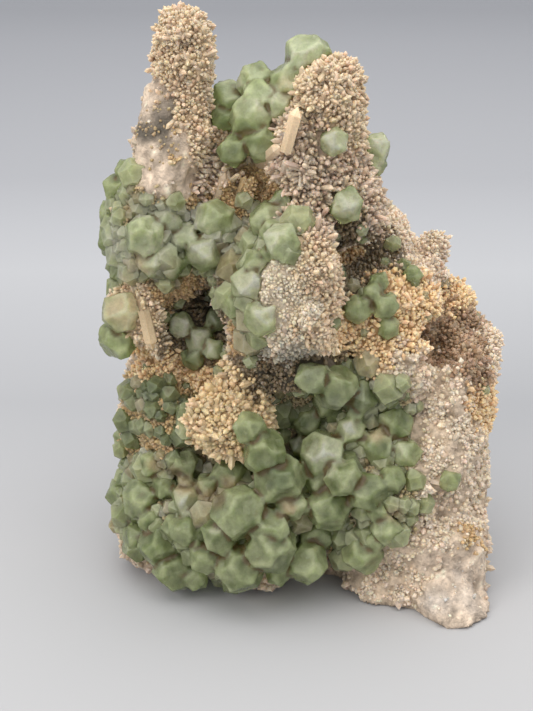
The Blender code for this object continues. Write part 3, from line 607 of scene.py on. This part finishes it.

# Fluorite crystals between cube and octahedron have grown over the crust and into each other. They are
# pale sage green, waxy and half clear, with painted light along their edges, and a rusty dust and a little
# painted shade in the joints. The marks are places where a coat of quartz or iron changes their colour:
# across, up, reach and colour. The haze marks are partly painted light on the tops of the crest and shoulder.
CRYSTAL_VOXEL = 0.5 * MM
PALE_GREEN = np.array((0.60, 0.64, 0.365))
DEEP_GREEN = np.array((0.22, 0.265, 0.105))
JOINT_DUST = np.array((0.29, 0.18, 0.08))
CREAM_COAT = (0.80, 0.66, 0.44)
WHITE_COAT = (0.84, 0.83, 0.58)
GREY_GREEN = (0.40, 0.43, 0.28)
BROWN_COAT = (0.58, 0.44, 0.26)
DARK_GREEN = (0.22, 0.26, 0.13)
# Pale haze, partly painted light on the tops of the crest and the shoulder.
HAZE_AND_TOP_LIGHT = (0.76, 0.80, 0.53)
TAN_HAZE = (0.58, 0.46, 0.28)
DEEP_JOINT = (0.30, 0.22, 0.12)
CRYSTAL_MARKS = (
    (-43, 82, 7, CREAM_COAT), (-38, 80, 5, CREAM_COAT), (-41, 105, 3.5, BROWN_COAT), (-33, 92, 3, CREAM_COAT),
    (-25, 95, 4, WHITE_COAT), (9, 122, 4.5, WHITE_COAT), (-5, 125, 2.5, CREAM_COAT), (7, 45, 5, WHITE_COAT),
    (0, 47, 3, WHITE_COAT), (-28, 33, 3.5, WHITE_COAT), (-22, 34, 2.5, BROWN_COAT), (3, 64, 4, GREY_GREEN),
    (13, 51, 3, WHITE_COAT), (8, 56, 4, GREY_GREEN), (14, 58, 4, GREY_GREEN), (26, 67, 2.5, WHITE_COAT),
    (-18, 129, 5, DARK_GREEN), (-30, 76, 5, HAZE_AND_TOP_LIGHT), (-24, 72, 5, HAZE_AND_TOP_LIGHT), (-19, 79, 4, GREY_GREEN),
    (-2, 31, 2.5, BROWN_COAT), (-20, 26, 2, WHITE_COAT), (32, 24, 2.5, WHITE_COAT), (15, 43, 2.5, WHITE_COAT),
    (-12, 87, 5, WHITE_COAT), (-8, 80, 4, WHITE_COAT), (20, 122, 5, WHITE_COAT), (12, 107, 4, WHITE_COAT),
    (-36, 60, 9, DARK_GREEN), (-32, 50, 7, DARK_GREEN), (-42, 52, 6, DARK_GREEN),
    (-32, 88, 3, BROWN_COAT), (-10, 88, 3, WHITE_COAT), (-4, 104, 4, WHITE_COAT), (-2, 136, 4, CREAM_COAT),
    (-14, 135, 6, HAZE_AND_TOP_LIGHT), (2, 144, 7, HAZE_AND_TOP_LIGHT), (-8, 132, 5, HAZE_AND_TOP_LIGHT), (-44, 98, 6, HAZE_AND_TOP_LIGHT), (-36, 104, 6, HAZE_AND_TOP_LIGHT),
    (-36, 94, 6, HAZE_AND_TOP_LIGHT), (-22, 99, 6, HAZE_AND_TOP_LIGHT), (-20, 33, 3, DEEP_JOINT), (-31, 40, 3, DEEP_JOINT),
    (7, 43, 4, HAZE_AND_TOP_LIGHT), (-4.5, 38.5, 4, DARK_GREEN), (25, 45, 3, HAZE_AND_TOP_LIGHT),
    (-22, 42, 4, TAN_HAZE), (-28, 36, 3.5, TAN_HAZE), (-17, 37, 2.5, TAN_HAZE), (-35, 42, 3, TAN_HAZE),
    (-26, 106, 5, WHITE_COAT), (-14, 104, 5, WHITE_COAT), (-6, 100, 5, HAZE_AND_TOP_LIGHT), (-30, 100, 4, HAZE_AND_TOP_LIGHT),
    (24, 30, 3, TAN_HAZE), (20, 50, 3, TAN_HAZE), (-40, 92, 3, TAN_HAZE), (-18, 96, 3, TAN_HAZE),
)
# The green wanders between deep and pale. A mark covers most of it to about half of its reach, and fades out
# a quarter beyond it, with a wavering edge. Some of the small crystals wear a coat all over: each coat takes
# the share of them that starts at its number. Dust and a little painted shade lie in the joints, and painted
# light makes the edges paler. Where they are is found by smoothing the skin so many times, which moves it out
# of a joint and in from an edge.
TINT_SWELLS = ((9, 0.36, 61), (2.5, 0.22, 62))
MARK_COVER = 0.85
MARK_EDGE = (1.6, 1.3)
MARK_SWELLS = ((3, 0.25, 63),)
COATS = ((0.87, WHITE_COAT), (0.80, CREAM_COAT), (0.74, BROWN_COAT))
COAT_SHARE = 0.06
COAT_COVER = 0.6
DUST_SWELLS = ((4, 0.5, 64),)
DUST_START = 0.28
DUST_STEEP = 6
DUST_MOST = 0.88
JOINT_SHADE_EDGE_LIGHT_STEEP = 2.2
JOINT_SHADE_EDGE_LIGHT_RANGE = (-0.1, 0.32)
CLUSTER_SWELLS = ((3.5, 0.16, 51), (1.4, 0.07, 52))
HOLLOW_ROUNDS = 8


def on_front(across, up):
    """Where the first solid is seen at a place on the front."""
    line = line_of_sight(across, up)
    hits = [skin.ray_cast(EYE, line) for skin in fluorite_skins + [rock_skin]]
    hits = [hit for hit in hits if hit[0] is not None]
    return min(hits, key=lambda hit: hit[3])[0] if hits else EYE + line * VIEW_DISTANCE


mark_middles = np.array([on_front(across, up) for across, up, _, _ in CRYSTAL_MARKS])


def smoothed(mesh, places, rounds):
    """The places after each has moved to the middle of its neighbours, several times."""
    edges = np.empty(len(mesh.edges) * 2, np.int32)
    mesh.edges.foreach_get("vertices", edges)
    a, b = edges.reshape(-1, 2).T
    count = np.bincount(a, minlength=len(places)) + np.bincount(b, minlength=len(places))
    soft = places
    for _ in range(rounds):
        total = np.zeros_like(places)
        for axis in range(3):
            total[:, axis] = np.bincount(a, soft[b, axis], len(places))
            total[:, axis] += np.bincount(b, soft[a, axis], len(places))
        soft = total / np.maximum(count, 1)[:, None]
    return soft


def crystal_tints(places, hollow, tone, coat=None):
    """Green of the crystals, with coats, dust and painted shade in the joints, and painted light on edges."""
    share = np.clip(0.5 + swells(places, TINT_SWELLS) + tone, 0, 1)
    tints = DEEP_GREEN + (PALE_GREEN - DEEP_GREEN) * share[:, None]
    for middle, (_, _, reach, colour) in zip(mark_middles, CRYSTAL_MARKS):
        gap = np.linalg.norm(places - middle, axis=1) / (reach * MM)
        gap += swells(places, MARK_SWELLS)
        cover = np.clip(MARK_EDGE[0] - MARK_EDGE[1] * gap, 0, 1)[:, None] * MARK_COVER
        tints = tints * (1 - cover) + np.array(colour) * cover
    if coat is not None:
        for least, colour in COATS:
            cover = ((coat > least) & (coat < least + COAT_SHARE))[:, None] * COAT_COVER
            tints = tints * (1 - cover) + np.array(colour) * cover
    dust = np.clip(hollow * DUST_STEEP + swells(places, DUST_SWELLS) - DUST_START, 0, DUST_MOST)[:, None]
    tints = tints * (1 - dust) + JOINT_DUST * dust
    # Painted light makes the edges paler and painted shade darkens the joints.
    return tints * (1 + np.clip(-hollow * JOINT_SHADE_EDGE_LIGHT_STEEP, *JOINT_SHADE_EDGE_LIGHT_RANGE))[:, None]


fluorite_green, tree, shader = new_look("fluorite_green")
mottle = noise_of(tree, 420, detail=8, roughness=0.78)
tinted(tree, shader, "crystal_colour", mottle, low=0.74, high=1.24)
shader.inputs["Roughness"].default_value = 0.2
shader.inputs["Coat Weight"].default_value = 0.1
shader.inputs["Coat Roughness"].default_value = 0.12
shader.inputs["IOR"].default_value = 1.43
shader.inputs["Specular IOR Level"].default_value = 0.3
shader.inputs["Transmission Weight"].default_value = 0.62
shader.inputs["Subsurface Weight"].default_value = 0.6
shader.inputs["Subsurface Radius"].default_value = (0.0028, 0.0032, 0.0026)
shader.inputs["Subsurface Scale"].default_value = 1.0
tinge = tree.nodes.new("ShaderNodeVolumeAbsorption")
tinge.inputs["Color"].default_value = (0.60, 0.72, 0.20, 1)
tinge.inputs["Density"].default_value = 115
wire(tree, tinge, "Volume", tree.nodes["Material Output"], "Volume")
faceted(tree, shader, cells=480, lean=0.42, grain=1000, depth=0.0003)

for node in fluorite_nodes:
    cluster = clean_copy(node, node.replace("fluorite", "crystals"), CRYSTAL_VOXEL)
    places, _ = mesh_numbers(cluster.data)
    normals = normals_of(cluster.data)
    hollow = ((smoothed(cluster.data, places, HOLLOW_ROUNDS) - places) * normals).sum(axis=1) / MM
    places = places + normals * swells(places, CLUSTER_SWELLS)[:, None] * MM
    cluster.data.vertices.foreach_set("co", places.astype(np.float32).ravel())
    cluster.data.update()
    tints = crystal_tints(places, hollow, np.zeros(len(places)))
    paint_points(cluster.data, "crystal_colour", np.clip(tints, 0.01, 0.9))
    cluster.data.materials.clear()
    cluster.data.materials.append(fluorite_green)
    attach(cluster, "root")
    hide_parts(node)

# Between the large crystals the same fluorite makes a close crust of small ones, on the front, the left
# wall, the shoulder and the ledge to the right. Each kind of surface has its own, given as the least and
# greatest reach of a crystal from its middle in millimetres, and the share of places that carry one.
CRUST_KINDS = {
    "moss": (1.3, 4.2, 0.95), "green": (1.6, 3.2, 0.6), "rust": (1.1, 1.9, 0.04), "dark_and_shaded": (1.3, 2.2, 0.08),
}
# No two stand closer than a share of their reach, and their middles are a little out of the rock. They are
# paler than the large crystals, by a tone given as its middle and its spread.
CRUST_PLACES = 16000
CRUST_SPACING = 0.85
CRUST_STANDS = 0.05
CRUST_LOWEST = 0.2 * MM
CRUST_FEET_LOWEST = 3 * MM
CRUST_TONE = (0.32, 0.28)
CRUST_HALFWAY_UP = 62 * MM
# On the left wall it lies in level bands.
BAND_STRETCH = (0.45, 0.45, 1.5)
BAND_SIZE = 9 * MM
BAND_START = 0.03
# How far the faces of a small crystal stand from its middle, and how its edges, the middles of its faces and
# its foot count as standing out or lying deep, which sets their dust, their painted shade and the painted
# light on the edges.
UNEVEN_FACES = (0.95, 1.05)
CUBE_REACH = 0.96
CUT_REACH = 0.98
EDGE_STANDS = 0.12
MIDDLE_LIES = 0.02
FOOT_DUST_AND_SHADE = 0.10
# A small crystal has six cube faces and eight cut corners. Each of its 24 points is where one cube face
# meets two of the cuts.
CUBE_FACES = [(axis, side) for axis in range(3) for side in (-1, 1)]
CUTS = [(x, y, z) for x in (-1, 1) for y in (-1, 1) for z in (-1, 1)]
POINTS = [(i, a, j, b) for i, a in CUBE_FACES for j, b in CUBE_FACES if j != i]


def crystal_plan():
    """How the points of a cut cube follow from its 14 planes, and its faces as rings of points."""
    planes = [side * np.eye(3)[axis] for axis, side in CUBE_FACES]
    planes += [np.array(cut) / 3 ** 0.5 for cut in CUTS]
    meets = []
    for i, a, j, b in POINTS:
        pair = [len(CUBE_FACES) + k for k, cut in enumerate(CUTS) if cut[i] == a and cut[j] == b]
        meets.append([CUBE_FACES.index((i, a))] + pair)
    solve = np.array([np.linalg.inv([planes[k] for k in meet]) for meet in meets])
    rings = []
    for i, a in CUBE_FACES:
        j, k = (i + 1) % 3, (i + 2) % 3
        rings.append([POINTS.index((i, a, *way)) for way in ((j, a), (k, 1), (j, -a), (k, -1))])
    for cut in CUTS:
        ways = ((0, 1), (1, 0), (1, 2), (2, 1), (2, 0), (0, 2))
        ring = [POINTS.index((i, cut[i], j, cut[j])) for i, j in ways]
        rings.append(ring if np.prod(cut) > 0 else ring[::-1])
    return np.array(meets), solve, rings


def fluorite_crystals(name, feet, out, radii, tones, coats, seed):
    """Small fluorite crystals as one piece, each turned its own way, with painted light along its edges."""
    chance = np.random.default_rng(seed)
    meets, solve, rings = crystal_plan()
    heights = chance.uniform(*UNEVEN_FACES, (len(feet), len(rings)))
    heights *= np.where(np.arange(len(rings)) < len(CUBE_FACES), CUBE_REACH, CUT_REACH)
    points = np.einsum("cij,ncj->nci", solve, heights[:, meets]) * radii[:, None, None]
    middles = np.stack([points[:, ring].mean(axis=1) for ring in rings], axis=1)
    points = np.concatenate([points, middles], axis=1)
    turn = np.linalg.qr(chance.normal(size=(len(feet), 3, 3)))[0]
    turn *= np.linalg.det(turn)[:, None, None]
    points = np.einsum("nij,nkj->nki", turn, points)
    deep = -np.einsum("nki,ni->nk", points, out) / radii[:, None]
    points = points + feet[:, None]
    points[..., 2] = np.maximum(points[..., 2], CRUST_LOWEST)
    fan = []
    for face, ring in enumerate(rings):
        fan += [(len(POINTS) + face, here, there) for here, there in zip(ring, ring[1:] + ring[:1])]
    each = points.shape[1]
    corners = np.array(fan)[None] + (np.arange(len(feet)) * each)[:, None, None]
    on_edge = np.arange(each) < len(POINTS)
    hollow = np.where(on_edge, -EDGE_STANDS, MIDDLE_LIES) + FOOT_DUST_AND_SHADE * np.clip(deep, 0, 1)
    tints = crystal_tints(
        points.reshape(-1, 3), hollow.ravel(), np.repeat(tones, each), np.repeat(coats, each)
    )
    sizes = np.full(len(feet) * len(fan), 3)
    return joined_piece(name, points.reshape(-1, 3), corners.ravel(), sizes, np.clip(tints, 0.01, 0.9))


spots, facing, _ = scatter(rock.data, CRUST_PLACES, 81)
shares = shares_at(spots)
chance = np.random.default_rng(82)
picks = (shares.cumsum(axis=1) > chance.random(len(spots))[:, None]).argmax(axis=1)
radii = np.zeros(len(spots))
for kind, (small, large, share) in CRUST_KINDS.items():
    mine = (picks == KINDS.index(kind)) & (chance.random(len(spots)) < share)
    if kind == "green":
        mine &= ripple(spots * BAND_STRETCH, BAND_SIZE, 84) > BAND_START
    radii[mine] = (small + (large - small) * chance.random(mine.sum()) ** 1.4) * MM
order = np.flatnonzero((radii > 0) & (spots[:, 2] > CRUST_FEET_LOWEST))
order = order[thinned(spots[order], CRUST_SPACING * radii[order])]
feet = spots[order] + facing[order] * (radii[order] * CRUST_STANDS)[:, None]
tones = chance.normal(*CRUST_TONE, len(order))
coats = chance.random(len(order))
upper = spots[order][:, 2] > CRUST_HALFWAY_UP
for name, half in (("fluorite_crust_upper", upper), ("fluorite_crust_lower", ~upper)):
    mine = order[half]
    crust = fluorite_crystals(name, feet[half], facing[mine], radii[mine], tones[half], coats[half], 83)
    crust.data.materials.append(fluorite_green)
    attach(crust, "root")

# The specimen stands on a sheet of pale paper that runs far back and curves up. Its tones are painted light
# and shade, going by the distance behind the middle of the specimen, in metres: darkest at 0.1 and palest at
# 0.25.
PAPER_HALF_WIDTH = 2.5
PAPER_FRONT = -1.2
PAPER_BEND_START = 1.3
PAPER_BEND_RADIUS = 0.6
PAPER_BEND_STEPS = 12
PAPER_LIGHT_AND_SHADE = (
    (0.00, (0.420, 0.418, 0.425)), (0.10, (0.355, 0.357, 0.370)), (0.25, (0.435, 0.438, 0.452)),
    (0.33, (0.415, 0.418, 0.435)), (0.43, (0.385, 0.387, 0.405)), (1.00, (0.43, 0.43, 0.45)),
)
profile = [(PAPER_FRONT, 0.0)]
for step in range(PAPER_BEND_STEPS + 1):
    turn = math.radians(90) * step / PAPER_BEND_STEPS
    rise = PAPER_BEND_RADIUS * (1 - math.cos(turn))
    profile.append((PAPER_BEND_START + PAPER_BEND_RADIUS * math.sin(turn), rise))
paper_mesh = bpy.data.meshes.new("paper")
paper_mesh.from_pydata(
    [(side * PAPER_HALF_WIDTH, y, z) for y, z in profile for side in (-1, 1)],
    [],
    [(2 * k, 2 * k + 1, 2 * k + 3, 2 * k + 2) for k in range(len(profile) - 1)],
)
paper_mesh.shade_smooth()
paper = bpy.data.objects.new("paper", paper_mesh)
bpy.context.scene.collection.objects.link(paper)
pale_paper, tree, shader = new_look("pale_paper")
shade_off = tree.nodes.new("ShaderNodeValToRGB")
stops = shade_off.color_ramp.elements
while len(stops) < len(PAPER_LIGHT_AND_SHADE):
    stops.new(0.5)
for stop, (distance, tone) in zip(stops, PAPER_LIGHT_AND_SHADE):
    stop.position = distance
    stop.color = (*tone, 1)
paper_axes = tree.nodes.new("ShaderNodeSeparateXYZ")
paper_place = tree.nodes.new("ShaderNodeTexCoord")
wire(tree, paper_place, "Object", paper_axes, "Vector")
wire(tree, paper_axes, "Y", shade_off, "Fac")
wire(tree, shade_off, "Color", shader, "Base Color")
shader.inputs["Roughness"].default_value = 0.9
paper.data.materials.append(pale_paper)

# The light is soft and comes from all around, as under pale cloth. A wide panel hangs overhead, and a smaller
# one stands to the left and in front, like a window.
SKY_COLOUR = (0.93, 0.96, 1.0, 1)
SKY_STRENGTH = 0.76
world = bpy.data.worlds.new("soft_sky")
world.use_nodes = True
sky = world.node_tree.nodes["Background"]
sky.inputs["Color"].default_value = SKY_COLOUR
sky.inputs["Strength"].default_value = SKY_STRENGTH
bpy.context.scene.world = world


def soft_light(name, place, aim, size, power, colour):
    """A square panel of light at a place in metres, turned to where it aims."""
    lamp = bpy.data.lights.new(name, "AREA")
    lamp.shape = "SQUARE"
    lamp.size = size
    lamp.energy = power
    lamp.color = colour
    panel = bpy.data.objects.new(name, lamp)
    panel.location = place
    panel.rotation_euler = (Vector(aim) - Vector(place)).to_track_quat("-Z", "Y").to_euler()
    bpy.context.scene.collection.objects.link(panel)


soft_light("overhead", (0.1, -0.1, 0.9), (0, 0, 0.05), size=1.2, power=9.6, colour=(1.0, 0.98, 0.95))
soft_light("window", (-0.7, -0.6, 0.6), (0, 0, 0.07), size=0.5, power=4.5, colour=(1.0, 0.97, 0.93))

bpy.context.scene.view_settings.view_transform = "Standard"
